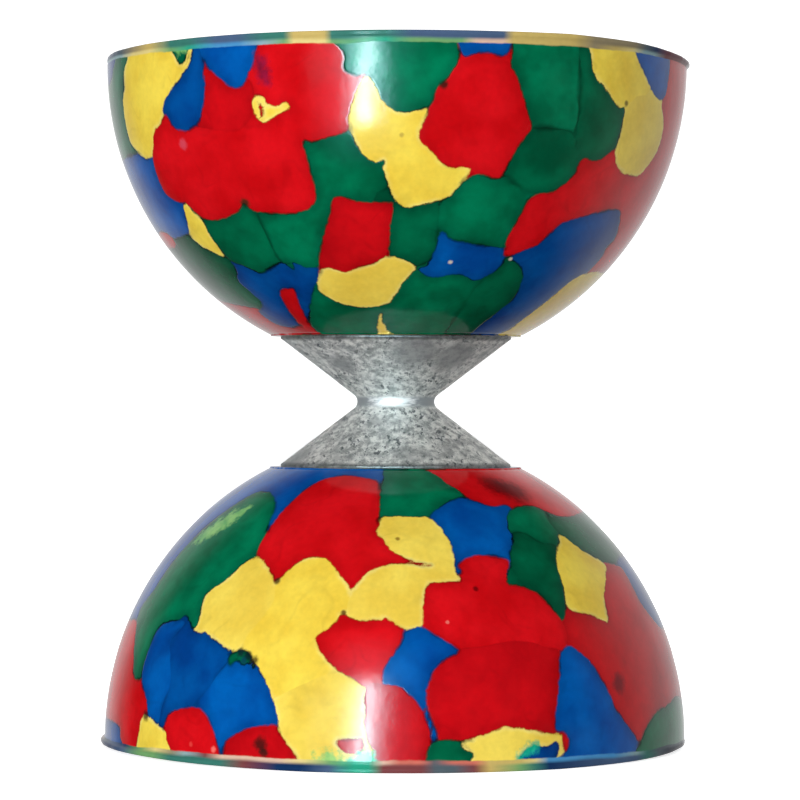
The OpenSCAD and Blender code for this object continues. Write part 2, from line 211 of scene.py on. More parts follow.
LOWER_LUMPS = [
    ("blue", [(-98, 10), (-4, 10), (-4, 16), (-36, 22), (-60, 22), (-66, 36), (-72, 40), (-96, 39),
        (-104, 26)]),
    ("green", [(-47.5, 16), (-42, 17.4), (-39.5, 18.8), (-37.2, 22.2), (-36.4, 24), (-34, 27), (-40, 36),
        (-56, 42), (-60, 50), (-74, 38), (-71, 33), (-70, 28), (-66, 21.3), (-58, 16.3), (-52, 15.8)]),
    ("lime", [(-52, 18.4), (-57, 19), (-61, 20.6), (-66, 23.6), (-62.6, 24.6), (-57.5, 23), (-53, 21.2)]),
    ("red", [(-98, 40), (-80, 38.8), (-74, 38.5), (-71, 40), (-66.2, 44.8), (-64.4, 47.3), (-61.8, 48.3),
        (-56, 48), (-54, 55), (-56, 62.5), (-72, 62.5), (-98, 58), (-104, 48)]),
    ("blue2", [(-69, 56.8), (-67, 59), (-66.5, 62.5), (-98, 62.5), (-98, 57), (-80, 56.4)]),
    ("green", [(-4.5, 10), (20, 10), (26, 16.4), (12, 21), (-6, 21), (-7, 16), (-4.6, 13.2)]),
    ("red", [(18, 10), (98, 10), (104, 14), (97, 22), (56, 22), (30, 20), (23.2, 15.5), (20.4, 14.4),
        (18.8, 13.3)]),
    ("green2", [(48, 19), (52, 18.8), (59, 20), (85, 19.5), (98, 20), (104, 25), (97, 30), (64, 30),
        (46, 24)]),
    ("blue2", [(68, 28.4), (98, 28), (104, 34), (98, 43), (68, 40)]),
    ("red2", [(60, 28), (70, 28.8), (71, 30.8), (70, 34), (71.5, 36.2), (79, 39.8), (98, 41), (104, 48),
        (98, 58), (56, 60), (40, 48), (34, 40), (38, 33), (50, 32)]),
    ("blue", [(10, 19.7), (14.6, 17.8), (19.7, 16.7), (23.8, 16.5), (31.3, 17.9), (38.5, 18.2), (36, 24),
        (28, 29), (12, 29), (12, 23)]),
    ("green", [(38.6, 18.4), (43, 18), (48, 18), (52, 18.9), (50, 20.4), (49.7, 21.8), (50.2, 24),
        (42, 26), (33.3, 23), (33.7, 20.5), (35.8, 19.2)]),
    ("green2", [(33.3, 22.3), (37.5, 22.5), (41, 24), (46, 25), (43, 31), (40.6, 34), (39.4, 35.1),
        (37.6, 36.9), (34, 36), (26, 32), (26.5, 29.4), (28.6, 27.5), (29.6, 25.7), (32, 23.8)]),
    ("red", [(15, 27.8), (16.2, 27), (18.5, 26.2), (21.7, 25.9), (25.8, 26.3), (28.3, 27.1), (26, 30.4),
        (29, 31.1), (32.4, 32), (34.2, 33.3), (37.4, 37.2), (37, 40.8), (33, 45), (14, 44), (4, 38),
        (5, 30), (14.9, 29)]),
    ("red2", [(12.4, 41.3), (18, 40.8), (25, 40), (31, 41), (38, 44), (36, 56), (20, 58), (6, 58),
        (3, 50), (5, 44)]),
    ("yellow2", [(-4.5, 19.9), (5, 19.6), (10, 19.8), (12.4, 21.5), (13.9, 23), (14.5, 25), (14.3, 28.5),
        (15, 30), (10, 30), (2, 28), (-6, 24)]),
    ("yellow2", [(-12, 31), (-4, 26.5), (9, 27), (12, 28.8), (15, 30.1), (9.2, 30.3), (7, 31), (6, 34.8),
        (5.7, 37.5), (3, 40), (-4, 38), (-12, 36)]),
    ("red", [(-31, 14), (-27, 13.2), (-19.5, 12.8), (-9, 13.4), (-6.3, 14), (-5.3, 15.5), (-4.5, 20.8),
        (-4.8, 22.4), (-2.7, 23.4), (-1.8, 24.6), (3, 26.5), (8.8, 27.6), (-0.3, 27.3), (-6, 28.6),
        (-9.8, 31.6), (-16, 32), (-28, 32), (-34, 28), (-36.6, 25.4), (-36.7, 22.2), (-35.9, 18.8),
        (-33.8, 15.5)]),
    ("yellow", [(-34, 27.1), (-32.3, 27.8), (-28.6, 30.2), (-27.4, 30.2), (-24.9, 28), (-22.7, 26.8),
        (-20, 26.3), (-16.5, 26.7), (-13.8, 28.3), (-9.8, 31.6), (-10, 33.5), (-10, 40), (-4, 47),
        (-3, 56), (-8, 62.5), (-20, 62.5), (-25, 54), (-30, 46), (-33, 44), (-35, 38), (-33, 32)]),
    ("yellow2", [(-36.1, 26.4), (-32.3, 27.8), (-28.6, 30.2), (-27.2, 32.6), (-27.6, 34.8), (-31.6, 40),
        (-33.4, 44), (-42, 42), (-46, 40), (-45.4, 37.5), (-46.4, 34), (-45.7, 32.5), (-42.1, 30.7),
        (-39.8, 28.5)]),
    ("yellow2", [(-13.3, 45.4), (-16.5, 46.6), (-21.6, 48.8), (-24, 51), (-22, 58), (-18, 62.5),
        (-9, 62.5), (-3, 56), (-3, 48), (-10, 44)]),
    ("yellow", [(50.5, 22.9), (54.7, 25.4), (61.5, 28.1), (58.8, 29.9), (53.4, 33.5), (51.2, 37.4),
        (48.3, 37), (46.4, 36.2), (40.2, 35), (41.2, 31.2), (42.3, 27.7), (44.4, 25.8), (47.3, 24.4)]),
    ("blue2", [(-46, 39), (-52, 37.8), (-54, 56), (-46, 54), (-38, 54), (-30, 46), (-34, 42.5),
        (-35.2, 42), (-37.1, 41.2), (-42, 39.5), (-44.3, 39.4)]),
    ("blue", [(-49.7, 37.8), (-57.6, 38.4), (-59.7, 41.5), (-60.2, 47.5), (-56.6, 51.4), (-55.1, 54.8),
        (-52, 57), (-50.8, 52), (-49.2, 48.4), (-51, 44), (-52.4, 41)]),
    ("blue", [(-34.3, 43.5), (-38.7, 48.8), (-41, 52.6), (-36, 62.5), (-32, 62.5), (-26, 56), (-22, 55),
        (-23.4, 50), (-26.5, 45.6), (-29, 43.4), (-30.9, 42.4), (-32.5, 42.2)]),
    ("green2", [(-34.8, 43.4), (-33.4, 42), (-30, 42.2), (-28.2, 45), (-29.6, 44), (-31, 44.4),
        (-32.4, 43.6), (-33.8, 44.6)]),
    ("red", [(-49.2, 54.7), (-47.5, 53), (-44.5, 52.2), (-41, 51.8), (-38.7, 52.6), (-35.9, 56.3),
        (-35.1, 62.5), (-50, 62.5)]),
    ("red2", [(-33.4, 62.5), (-33.4, 58), (-32.9, 56.8), (-28.8, 54.9), (-24.4, 54.1), (-22.5, 54.1),
        (-20.8, 56.3), (-18.1, 59.4), (-17.5, 62.5)]),
    ("yellow", [(-56.7, 54), (-51.7, 55.5), (-49.7, 56), (-48.6, 57.6), (-47, 62.5), (-58.4, 62.5),
        (-58.3, 57.2)]),
    ("red", [(-11, 35.5), (-8.3, 36.4), (-3, 36.4), (-2, 36.1), (0.8, 37.4), (3, 39), (2, 46), (-2, 48),
        (-5.4, 47.4), (-7.5, 46.2), (-11.3, 44.5), (-14.7, 41.7), (-15.9, 40.1), (-15.7, 39.1),
        (-12.4, 37)]),
    ("blue", [(2, 38.2), (4, 37.7), (5.7, 37.6), (8.6, 39.1), (12.6, 41.4), (9.6, 43), (7.9, 44.4),
        (6.7, 46.2), (6, 48.3), (6, 50.3), (6.9, 52.7), (8, 56.2), (5, 56), (1, 50), (-2, 47), (-2.1, 45),
        (-1.4, 43.4), (1.2, 40.2)]),
    ("red2", [(-5.4, 47.6), (-2.5, 46.8), (0.5, 47.3), (2.6, 48.3), (5.4, 51.5), (7, 56.2), (8, 62.5),
        (-3, 62.5), (-3.4, 59), (-5.2, 55)]),
    ("red", [(-11, 56.3), (-8.5, 55.8), (-6, 55.9), (-6, 58), (-8.3, 58.4), (-9.8, 57.6)]),
    # Painted highlight: these teal and lime smudges stand for teal and green rubber lit by the strip
    # highlight, painted paler
    ("teal", [(-8.8, 60), (-7.4, 58.2), (-5.4, 57.6), (-3.8, 58.2), (-2.9, 60), (-3, 62.5), (-9, 62.5)]),
    ("lime", [(-15, 59.4), (-13.6, 58.2), (-10.8, 58.2), (-9.2, 59.8), (-11, 61), (-14.6, 60.8)]),
    ("green", [(5.8, 60), (6.4, 57.2), (8, 56.1), (12.2, 56.3), (16, 58), (14, 62.5), (6, 62.5)]),
    ("yellow2", [(12.6, 56.6), (19.6, 54.5), (22.3, 54.2), (30, 55.4), (32.6, 55.8), (33.7, 56.6),
        (33.2, 58.4), (31, 62.5), (15.5, 62.5), (14.2, 60), (14.6, 58.5)]),
    ("blue2", [(23.6, 59.4), (24.8, 58.2), (27, 57.2), (29.4, 57.6), (31.8, 57), (32, 59), (31, 60.4),
        (27.4, 60.2), (26, 59.6), (24.6, 60.2)]),
    ("teal", [(23, 60), (24.2, 58), (26.4, 57), (28, 57.2), (26.6, 58.4), (25, 59)]),
    ("red", [(33, 55.4), (34.3, 55.6), (34.6, 56.6), (34, 58.2), (33.3, 58)]),
    ("blue", [(35.3, 42), (37, 41.1), (38.7, 41.5), (42.7, 44.5), (46.1, 49.7), (47.8, 52.6),
        (53.3, 57.7), (56, 62.5), (29.5, 62.5), (31.8, 59.6), (33.5, 59), (34.6, 57.5), (33.6, 55.4),
        (31.7, 55), (31.8, 52.6), (33.8, 45.7), (34.4, 43.3)]),
    ("green", [(76, 51.8), (67.5, 52.8), (61, 53.8), (55.6, 57.2), (54.4, 62.5), (86, 62.5), (86, 54)]),
    ("blue2", [(84, 62.5), (88, 57), (84, 53), (97, 54), (104, 58), (98, 62.5)]),
]
# What the four colours smear into along a lip, as 8-bit sRGB; the pale ones used at a lip's foot also hold a
# painted highlight
LIP_COLOURS = {
    "navy": (22, 50, 92),
    "night": (16, 30, 56),
    "slate": (74, 96, 128),
    "sky": (74, 144, 196),
    "mist": (142, 172, 176),
    "fog": (82, 96, 104),
    "teal": (58, 120, 108),
    "green": (44, 160, 130),
    "leaf": (112, 162, 104),
    "olive": (146, 134, 106),
    "gold": (200, 176, 104),
    "cream": (224, 206, 136),
    "sand": (216, 182, 160),
    "rose": (206, 112, 96),
    "brick": (124, 66, 68),
    "maroon": (102, 22, 48),
}
# The smears along each lip: (azimuth, colour at the lip's edge, colour at its foot, which also holds the
# painted highlight there)
UPPER_LIP = [
    (-80, "slate", "mist"), (-68, "fog", "mist"), (-62, "olive", "cream"), (-55, "gold", "cream"),
    (-48, "teal", "leaf"), (-43, "teal", "green"), (-36, "slate", "sky"), (-31, "slate", "sky"),
    (-25, "teal", "mist"), (-21, "teal", "leaf"), (-19.4, "gold", "cream"), (-13.4, "gold", "cream"),
    (-12, "teal", "leaf"), (-2, "teal", "green"), (3, "slate", "leaf"), (12, "slate", "leaf"),
    (15, "slate", "sand"), (20, "slate", "sand"), (21.8, "gold", "gold"), (35, "gold", "gold"),
    (40, "olive", "olive"), (46, "olive", "gold"), (51, "olive", "cream"), (55, "fog", "mist"),
    (59, "navy", "mist"), (64, "maroon", "brick"), (80, "maroon", "brick"),
]
LOWER_LIP = [
    (-80, "navy", "fog"), (-72, "navy", "slate"), (-64, "slate", "navy"), (-57, "leaf", "leaf"),
    (-52, "leaf", "cream"), (-47, "teal", "olive"), (-43, "teal", "mist"), (-38, "teal", "brick"),
    (-34, "teal", "sand"), (-29, "brick", "sand"), (-22, "navy", "sand"), (-17, "navy", "cream"),
    (-12, "slate", "leaf"), (-7.5, "green", "green"), (-4.5, "green", "green"), (-2, "brick", "sand"),
    (1, "brick", "rose"), (5, "brick", "rose"), (7.5, "fog", "fog"), (11, "fog", "rose"),
    (15, "brick", "rose"), (18, "gold", "gold"), (24, "leaf", "gold"), (27, "teal", "cream"),
    (30, "navy", "sky"), (46, "slate", "sky"), (53, "slate", "mist"), (57, "teal", "teal"),
    (62, "fog", "fog"), (67, "night", "fog"), (80, "night", "fog"),
]
# Specks and nicks on the side, and one painted highlight: (azimuth, height, radius in mm, colour as
# 8-bit sRGB). On the lower cup the height is negative.
SPECKS = [
    (14, 23.7, 0.4, (226, 214, 190)),
    (30.4, 24.4, 0.4, (226, 214, 190)),
    (50.2, 51, 0.5, (96, 84, 30)),
    (1, 44.3, 0.4, (190, 160, 60)),
    (8.8, 52.6, 0.7, (30, 26, 20)),
    (-34.7, 33.6, 0.9, (20, 40, 24)),
    # A painted highlight: a small pink glint on the red
    (-47.5, 43.8, 0.9, (212, 74, 92)),
    (-36, -58.6, 0.5, (246, 118, 108)),
    (-41.7, -58, 0.4, (226, 64, 60)),
    (10.9, -36.8, 0.3, (232, 120, 110)),
    (18.2, -31.4, 0.5, (96, 4, 8)),
    (49.3, -47.9, 1.7, (112, 18, 28)),
    (40, -14.4, 2.8, (112, 4, 10)),
    (46, -15.4, 3.2, (96, 4, 10)),
    (-27.6, -30.4, 0.6, (50, 30, 20)),
    (-10.8, -35.3, 0.5, (60, 20, 16)),
    (-25.6, -57.2, 1.2, (36, 22, 20)),
    (-25, -58.6, 0.8, (44, 26, 22)),
    (-32, -42.3, 0.7, (14, 40, 44)),
    (-30.2, -42.9, 0.8, (10, 30, 36)),
    (-28.6, -43.6, 0.8, (30, 22, 16)),
    (-31, -43.6, 0.6, (10, 66, 84)),
    (-56, -54, 0.9, (30, 20, 24)),
    (0.6, -23.2, 0.4, (130, 96, 30)),
]
# How far each soft lip hangs towards the waist, in mm, at some azimuths
UPPER_SAG = [
    (-180, 0.3), (-90, 0.5), (-57, 0.25), (-30, 0), (19, -0.2), (34, -0.35), (52, 0), (64, 0.5), (80, 1),
    (110, 0.8), (180, 0.3),
]
LOWER_SAG = [
    (-180, 0.3), (-90, 0.8), (-57, 0.6), (-38, 0.3), (-15, 0), (32, 0), (55, 0.25), (76, 0.7), (100, 0.6),
    (180, 0.3),
]
# How far below the rim the sag still pulls at the side
SAG_DEPTH = 16
# How much more each lip sticks out than it should, in mm: all round, and again on the right
UPPER_LEAN = (-0.2, 0.22)
LOWER_LEAN = (-0.05, -0.3)
# How far the smears' edge colour and the smears themselves reach from the edge, and their blur, in mm
LIP_EDGE_REACH = 1.05
LIP_REACH = 2.25
LIP_BLUR = 0.5

# The set lumps end and the random ones begin between these azimuths, on both sides
FRONT_EDGE = (88, 97)
# How far the random lumps are pushed back on the front, in mm
FRONT_CLEAR = 12
# How far past its outline a lump is worked out, in mm
LUMP_REACH = 9
# Stands for a colour that is nowhere near, in mm
FAR = 20.0
SEED_COUNT = 95
SEED_WEIGHTS = {"red": 24, "red2": 12, "green": 15, "green2": 14, "blue": 12, "blue2": 10, "yellow": 9,
                "yellow2": 8}

# Colours of the rubber, as 8-bit sRGB: (the darker tone, the lighter tone)
RUBBER_COLOURS = {
    "red": ((198, 8, 16), (220, 16, 26)),
    "red2": ((184, 8, 18), (208, 12, 22)),
    "green": ((0, 92, 60), (0, 124, 84)),
    "green2": ((0, 80, 52), (0, 108, 72)),
    "blue": ((0, 70, 150), (0, 94, 178)),
    "blue2": ((0, 60, 134), (0, 82, 158)),
    "yellow": ((234, 200, 66), (248, 222, 84)),
    "yellow2": ((232, 200, 74), (246, 220, 92)),
    "dark": ((74, 20, 52), (120, 24, 66)),
    # Lime and teal also serve as the painted highlight on two smudges at the lower cup's rim
    "lime": ((96, 176, 96), (150, 208, 120)),
    "teal": ((14, 168, 130), (44, 204, 164)),
}
CREAM_FRINGE = (246, 238, 164)


def arc_radius(run, rise):
    """Radius of an arc that starts along the axis and moves run sideways over a length rise."""
    return (run * run + rise * rise) / (2 * run)


def arc_points(middle, r, start, end, count):
    """count points round a middle, with both ends, angles in degrees."""
    return [
        (middle[0] + r * math.cos(math.radians(a)), middle[1] + r * math.sin(math.radians(a)))
        for a in np.linspace(start, end, count)
    ]


def line_points(start, end, count):
    """count points along a line, with both ends."""
    return [tuple(p) for p in np.linspace(start, end, count)]


def round_axis(angle, radius, height):
    """The point, or points, at an angle in radians round the axis from the side that faces the camera."""
    return radius * np.sin(angle), -radius * np.cos(angle), height


def waves(points, size, seed, count=14):
    """A smooth random field from -1 to 1 over points in mm, with ripples about size mm long."""
    rng = np.random.default_rng(seed)
    total = np.zeros(len(points))
    for _ in range(count):
        direction = rng.normal(size=3)
        direction /= np.linalg.norm(direction)
        stretch = rng.uniform(0.6, 1.6)
        total += np.sin(points @ direction * 2 * math.pi * stretch / size + rng.uniform(0, 2 * math.pi))
    return total / math.sqrt(count * 2)


def side_radius(height):
    """Radius of a cup's side at a height above the waist, up to the lip's foot."""
    side_arc = arc_radius(SIDE_R - BASE_R, FOOT_Z - BASE_Z)
    return SIDE_R - side_arc + math.sqrt(side_arc ** 2 - (FOOT_Z - min(height, FOOT_Z)) ** 2)


def cup_section():
    """The upper cup's section, (radius, height) in mm, from the flash at its base over the lip, down the
    bowl and back to the base, and how many of its first points lie outside or on the rim."""
    bowl_arc = arc_radius(BOWL_R - FLOOR_R, RIM_Z - FLOOR_Z)
    bowl_x = BOWL_R - bowl_arc
    flash_top = BASE_Z + FLASH_T
    lip_rise = LIP_H - LIP_EDGE_H
    lip_arc = arc_radius(LIP_FLARE, lip_rise)
    lip_turn = math.degrees(math.asin(lip_rise / lip_arc))
    edge_round = 0.25
    bowl_low = -math.degrees(math.asin((RIM_Z - FLOOR_Z) / bowl_arc))
    bowl_high = -math.degrees(math.asin(MOUTH_ROUND / bowl_arc))
    outside = [
        (BASE_R + FLASH_W, BASE_Z + 0.02),
        (BASE_R + FLASH_W, flash_top - 0.05),
        *((side_radius(height), height) for height in side_heights()),
        *arc_points((SIDE_R + lip_arc, FOOT_Z), lip_arc, 180, 180 - lip_turn, 6)[1:],
        (MOUTH_R, RIM_Z - edge_round - 0.15),
        *arc_points((MOUTH_R - edge_round, RIM_Z - edge_round), edge_round, 0, 90, 4),
        *line_points((MOUTH_R - 0.4, RIM_Z), (BOWL_R + MOUTH_ROUND + 0.1, RIM_Z), 4),
    ]
    inside = [
        *arc_points((BOWL_R + MOUTH_ROUND, RIM_Z - MOUTH_ROUND), MOUTH_ROUND, 90, 180, 6),
        *arc_points((bowl_x, RIM_Z), bowl_arc, bowl_high, bowl_low, 36)[1:],
        *line_points((FLOOR_R - 0.8, FLOOR_Z), (SEAT_R + 0.15, FLOOR_Z), 3),
        (SEAT_R, FLOOR_Z - 0.15),
        (SEAT_R, SEAT_Z + 0.1),
        (SEAT_R - 0.1, SEAT_Z),
        (SPIGOT_R + 0.3, SEAT_Z),
        (SPIGOT_R + 0.1, SEAT_Z - 0.2),
        (SPIGOT_R + 0.1, BASE_Z + 0.2),
        (SPIGOT_R + 0.3, BASE_Z),
        (BASE_R, BASE_Z),
    ]
    return np.array(outside + inside), len(outside)


def side_heights():
    """Heights up a cup's side, closer together near the base, where the side leans out the most."""
    low = BASE_Z + FLASH_T
    return [low + (FOOT_Z - low) * step ** 1.25 for step in np.linspace(0, 1, 116)]


def swept(section, columns):
    """Every point of a section at every azimuth: angle, radius, height, and the points' places."""
    turn = np.radians(np.linspace(-180, 180, columns, endpoint=False))
    angle = np.tile(turn, len(section))
    radius = np.repeat(section[:, 0], columns)
    height = np.repeat(section[:, 1], columns)
    return angle, radius, height, np.stack(round_axis(angle, radius, height), 1)


def push_out(points, radius, relief):
    """Moves points away from the axis, by relief in mm."""
    points[:, :2] *= ((radius + relief) / radius)[:, None]


def ring_mesh(name, points, rows, columns, flipped):
    """A closed mesh of rows x columns points, wrapped round both ways."""
    faces = []
    for i in range(rows):
        below = i * columns
        above = (i + 1) % rows * columns
        for j in range(columns):
            k = (j + 1) % columns
            face = (below + j, below + k, above + k, above + j)
            faces.append(face[::-1] if flipped else face)
    mesh = bpy.data.meshes.new(name)
    mesh.from_pydata((points * MM).tolist(), [], faces)
    mesh.shade_smooth()
    piece = bpy.data.objects.new(name, mesh)
    bpy.context.scene.collection.objects.link(piece)
    return piece


def store(piece, name, kind, key, values):
    """Keeps values on a mesh's points, for its material to read."""
    field = piece.data.attributes.new(name, kind, "POINT")
    field.data.foreach_set(key, values.astype(np.float32).ravel())


def closed_curve(points, steps=5):
    """A smooth closed curve through the points (Catmull-Rom)."""
    p1 = np.array(points, float)
    p0, p2, p3 = np.roll(p1, 1, 0), np.roll(p1, -1, 0), np.roll(p1, -2, 0)
    curve = [
        0.5 * (2 * p1 + (p2 - p0) * t + (2 * p0 - 5 * p1 + 4 * p2 - p3) * t * t
               + (3 * p1 - p0 - 3 * p2 + p3) * t ** 3)
        for t in np.arange(steps) / steps
    ]
    return np.stack(curve, 1).reshape(-1, 2)


def outline_distance(curve, az, along, radius):
    """Distance in mm over the surface from each point to a closed curve, negative inside it.
    curve holds (azimuth in degrees, distance along the section in mm)."""
    ax = np.radians(curve[:, 0] - az[:, None]) * radius[:, None]
    ay = curve[:, 1] - along[:, None]
    dx = np.roll(ax, -1, 1) - ax
    dy = np.roll(ay, -1, 1) - ay
    t = np.clip(-(ax * dx + ay * dy) / (dx * dx + dy * dy + 1e-12), 0, 1)
    distance = np.sqrt(((ax + t * dx) ** 2 + (ay + t * dy) ** 2).min(1))
    crosses = (ay > 0) != (ay + dy > 0)
    crossing_x = ax - ay * dx / np.where(dy == 0, 1e-12, dy)
    inside = (crosses & (crossing_x > 0)).sum(1) % 2 == 1
    return np.where(inside, -distance, distance)


def random_lumps(points, seed):
    """Signed distance of every point to each colour, for lumps grown round random seeds in the wall."""
    rng = random.Random(seed)
    names = list(SEED_WEIGHTS)
    seeds, seed_classes = [], []
    for _ in range(SEED_COUNT):
        height = BASE_Z + (RIM_Z - BASE_Z) * rng.random() ** 0.8
        radius = side_radius(height) - rng.uniform(0, WALL_T)
        turn = rng.uniform(0, 2 * math.pi)
        seeds.append((radius * math.cos(turn), radius * math.sin(turn), height))
        seed_classes.append(rng.choices(names, [SEED_WEIGHTS[n] for n in names])[0])
    # Long and short ripples bend the borders between the lumps
    warp = np.stack([waves(points, 22, seed * 10 + k) for k in range(3)], 1)
    ripple = np.stack([waves(points, 7, seed * 10 + 5 + k) for k in range(3)], 1)
    moved = points + 2.6 * warp + 0.6 * ripple
    to_seed = np.linalg.norm(moved[:, None, :] - np.array(seeds)[None, :, :], axis=2)
    nearest = {}
    for name in names:
        mine = [i for i, seed_class in enumerate(seed_classes) if seed_class == name]
        nearest[name] = to_seed[:, mine].min(1)
    distances = np.full((len(CLASSES), len(points)), FAR)
    for name in names:
        others = np.min([nearest[n] for n in names if n != name], axis=0)
        distances[CLASSES.index(name)] = (nearest[name] - others) / 2
    return distances


def marble(piece, section, outside_rows, lumps, seed):
    """Stores, for each colour, how deep inside that colour a point of the cup lies, in mm."""
    along_rows = np.concatenate([[0], np.cumsum(np.linalg.norm(np.diff(section, axis=0), axis=1))])
    along = np.repeat(along_rows, CUP_COLUMNS)
    angle, radius, _, points = swept(section, CUP_COLUMNS)
    az = np.degrees(angle)
    distances = random_lumps(points, seed)
    outside = np.arange(len(az)) < outside_rows * CUP_COLUMNS
    start, end = FRONT_EDGE
    front = np.clip((end - np.abs(az)) / (end - start), 0, 1) * outside
    distances += FRONT_CLEAR * front

    def paint(name, distance, where):
        k = CLASSES.index(name)
        distances[k, where] = np.minimum(distances[k, where], distance)
        if name in FAMILY_CLASSES:
            for c in range(len(CLASSES)):
                if c != k:
                    distances[c, where] = np.maximum(distances[c, where], -distance)

    foot_row = int(np.argmax(section[:, 1] >= FOOT_Z))
    heights = section[: foot_row + 10, 1]
    heights_along = along_rows[: foot_row + 10]
    for name, outline in lumps:
        curve = closed_curve(outline)
        beyond = np.maximum(curve[:, 1] - RIM_Z, 0)
        curve[:, 1] = np.interp(curve[:, 1], heights, heights_along) + beyond
        low, high = curve.min(0), curve.max(0)
        side = np.degrees(LUMP_REACH / radius)
        where = np.flatnonzero(outside & (az > low[0] - side) & (az < high[0] + side)
                               & (along > low[1] - LUMP_REACH) & (along < high[1] + LUMP_REACH))
        paint(name, outline_distance(curve, az[where], along[where], radius[where]), where)

    for name, values in zip(CLASSES, distances):
        store(piece, "depth_" + name, "FLOAT", "value", -values)


def back_smears(lip, seed):
    """The lip's colours all the way round: the ones in view, then random ones round the back."""
    rng = random.Random(seed)
    pairs = [(edge, foot) for _, edge, foot in lip]
    back = []
    azimuth = lip[-1][0] + 9
    while azimuth < 360 + lip[0][0] - 6:
        back.append((azimuth, *rng.choice(pairs)))
        azimuth += rng.uniform(3, 13)
    left = [(turn - 360, *pair) for turn, *pair in back if turn > 180]
    right = [smear for smear in back if smear[0] <= 180]
    return left + lip + right


def smear_lip(piece, section, outside_rows, lip, seed):
    """Stores the colour of the lip and how well it covers the lumps: a line along the edge, and a paler
    one below it, whose colour holds a painted highlight of the hollow at the lip's foot."""
    angle, radius, height, _ = swept(section, CUP_COLUMNS)
    az = np.degrees(angle)
    inward = MOUTH_R - section[:, 0]
    down = RIM_Z - section[:, 1]
    down[outside_rows:] = 0.8 * inward[outside_rows:] + down[outside_rows:]
    down = np.repeat(np.maximum(down, 0), CUP_COLUMNS)
    points = np.stack(round_axis(angle, radius, 0.3 * height), 1)
    down = down / np.interp(np.abs(az), (35, 78), (1, 0.66)) + 0.16 * waves(points, 12, seed + 77)
    stops = back_smears(lip, seed + 9)
    azimuths = [stop[0] for stop in stops]

    def smeared(place):
        """The colour that stands at a place in each stop, blended from stop to stop."""
        channels = zip(*(linear(LIP_COLOURS[stop[place]])[:3] for stop in stops))
        return np.stack([np.interp(az, azimuths, channel) for channel in channels], 1)

    # The foot colours hold a painted highlight of the hollow under the lip's edge, as well as the smears'
    # own colour
    edge, foot = smeared(1), smeared(2)
    lower = np.clip((down - LIP_EDGE_REACH) / LIP_BLUR, 0, 1)[:, None]
    cover = np.clip((LIP_REACH - down) / LIP_BLUR, 0, 1)
    colour = np.concatenate([edge * (1 - lower) + foot * lower, np.ones((len(az), 1))], 1)
    store(piece, "lip_colour_and_highlight", "FLOAT_COLOR", "color", colour)
    store(piece, "lip_cover", "FLOAT", "value", cover)


def make_cup(name, lumps, lip, sag, lean, seed, flipped):
    """One rubber cup; flipped turns it over for the lower end. The lip sticks out lean[0] mm more than it
    should, and lean[1] mm more again on the right."""
    section, outside_rows = cup_section()
    angle, radius, height, points = swept(section, CUP_COLUMNS)
    # The moulding isn't perfectly true: long shallow waves, a ragged flash at the base, an uneven lip
    swell = 0.035 * waves(points, 26, seed + 1) + 0.012 * waves(points, 7, seed + 2)
    flash = (height < BASE_Z + FLASH_T) & (radius > BASE_R + 0.1)
    ragged = 0.16 * waves(points, 5, seed + 3) + 0.1 * waves(points, 1.8, seed + 4)
    lip_part = np.clip((height - FOOT_Z - 0.3) / 0.8, 0, 1) * (radius > SIDE_R - 0.2)
    lip_wave = 0.05 * waves(points, 9, seed + 5) + 0.03 * waves(points, 3, seed + 6)
    lip_wave += lean[0] + lean[1] * np.sin(angle)
    push_out(points, radius, np.where(flash, ragged, swell + lip_part * lip_wave) * (radius > SEAT_R + 1))
    share = np.clip(1 - (RIM_Z - height) / SAG_DEPTH, 0, 1) ** 2
    points[:, 2] -= share * np.interp(np.degrees(angle), *zip(*sag))
    if flipped:
        points[:, 2] *= -1
    cup = ring_mesh(name, points, len(section), CUP_COLUMNS, flipped)
    marble(cup, section, outside_rows, lumps, seed)
    smear_lip(cup, section, outside_rows, lip, seed)
    return cup


# ---------------------------------------------------------------------------------------------
# Materials
# ---------------------------------------------------------------------------------------------
def linear(colour):
    """8-bit sRGB to the linear RGBA that a shader takes."""
    channels = [c / 255 for c in colour]
    return (*(c / 12.92 if c <= 0.04045 else ((c + 0.055) / 1.055) ** 2.4 for c in channels), 1)


